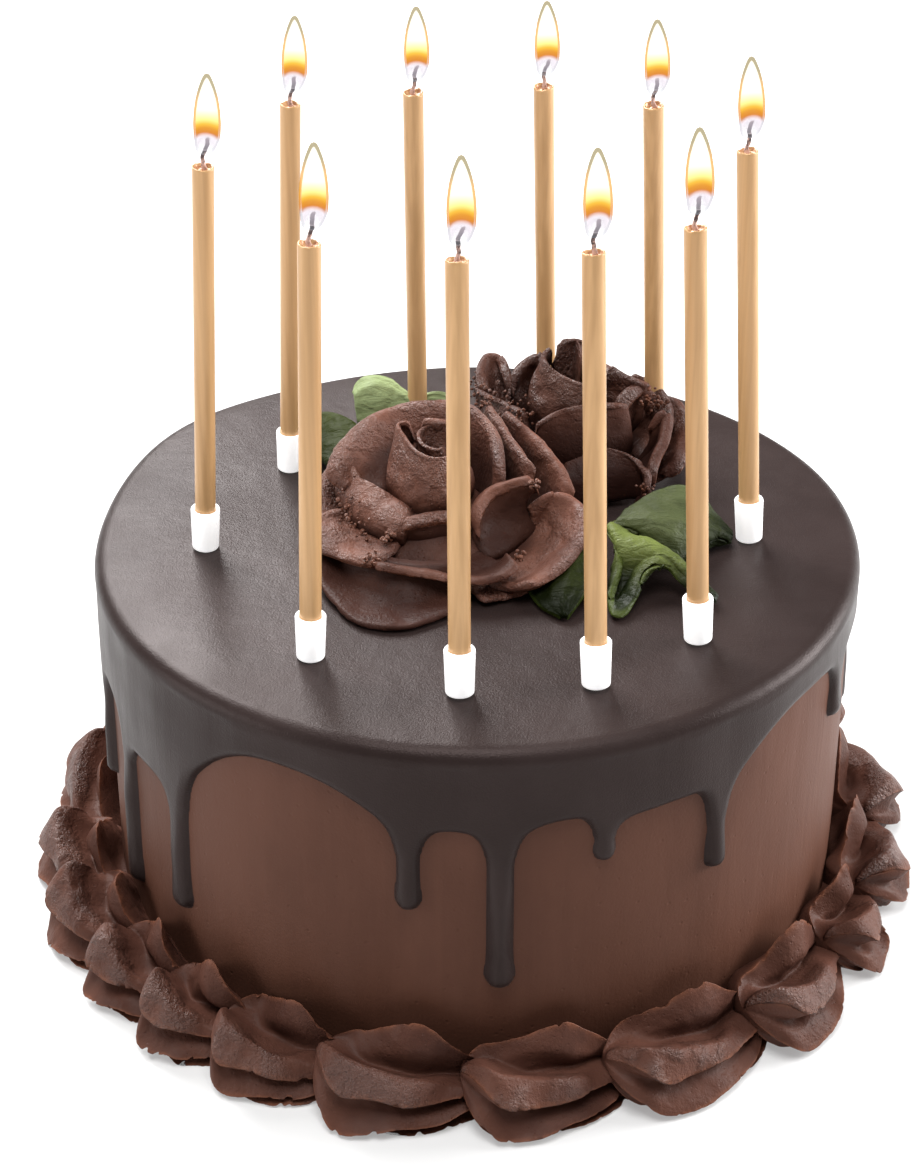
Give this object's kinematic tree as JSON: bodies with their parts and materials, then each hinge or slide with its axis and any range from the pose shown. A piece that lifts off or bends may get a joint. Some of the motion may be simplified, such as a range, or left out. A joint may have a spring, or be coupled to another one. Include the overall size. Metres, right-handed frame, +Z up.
{
  "type": "birthday cake",
  "caption": "Round chocolate cake with a poured dark coat running down in drips, piped roses with leaves on top, a piped shell border and tall thin lit candles in small holders.",
  "frame": {"origin": "centre of the cake's foot, on the surface it stands on", "axes": "+Z up; -Y toward the front, where the roses' leaves and the longest drip show; +X to the right seen from the front"},
  "size_m": [0.2409, 0.2423, 0.2256],
  "materials": {
    "chocolate_buttercream": "matt, smoothed buttercream",
    "dark_ganache": "soft satin set ganache",
    "piped_chocolate": "matt, slightly pitted piped buttercream",
    "green_icing": "soft matt icing",
    "gold_wax": "pearly gold wax",
    "white_plastic": "smooth white plastic",
    "flame_glow": "glowing flame round a thin wick"
  },
  "bodies": {
    "root": {"cake_body": "chocolate_buttercream", "ganache_coat": "dark_ganache", "rose_front": "piped_chocolate", "rose_back": "piped_chocolate", "leaf_01": "green_icing", "leaf_02": "green_icing", "leaf_03": "green_icing", "leaf_04": "green_icing", "leaf_05": "green_icing", "leaf_06": "green_icing", "border_shell_01": "piped_chocolate", "border_shell_02": "piped_chocolate", "border_shell_03": "piped_chocolate", "border_shell_04": "piped_chocolate", "border_shell_05": "piped_chocolate", "border_shell_06": "piped_chocolate", "border_shell_07": "piped_chocolate", "border_shell_08": "piped_chocolate", "border_shell_09": "piped_chocolate", "border_shell_10": "piped_chocolate", "border_shell_11": "piped_chocolate", "border_shell_12": "piped_chocolate", "border_shell_13": "piped_chocolate", "border_shell_14": "piped_chocolate", "border_shell_15": "piped_chocolate", "border_shell_16": "piped_chocolate", "border_shell_17": "piped_chocolate", "border_shell_18": "piped_chocolate", "border_shell_19": "piped_chocolate", "border_shell_20": "piped_chocolate", "candle_01": "gold_wax", "candle_02": "gold_wax", "candle_03": "gold_wax", "candle_04": "gold_wax", "candle_05": "gold_wax", "candle_06": "gold_wax", "candle_07": "gold_wax", "candle_08": "gold_wax", "candle_09": "gold_wax", "candle_10": "gold_wax", "candle_holder_01": "white_plastic", "candle_holder_02": "white_plastic", "candle_holder_03": "white_plastic", "candle_holder_04": "white_plastic", "candle_holder_05": "white_plastic", "candle_holder_06": "white_plastic", "candle_holder_07": "white_plastic", "candle_holder_08": "white_plastic", "candle_holder_09": "white_plastic", "candle_holder_10": "white_plastic", "lit_wick_01": "flame_glow", "lit_wick_02": "flame_glow", "lit_wick_03": "flame_glow", "lit_wick_04": "flame_glow", "lit_wick_05": "flame_glow", "lit_wick_06": "flame_glow", "lit_wick_07": "flame_glow", "lit_wick_08": "flame_glow", "lit_wick_09": "flame_glow", "lit_wick_10": "flame_glow"}
  },
  "joints": []
}
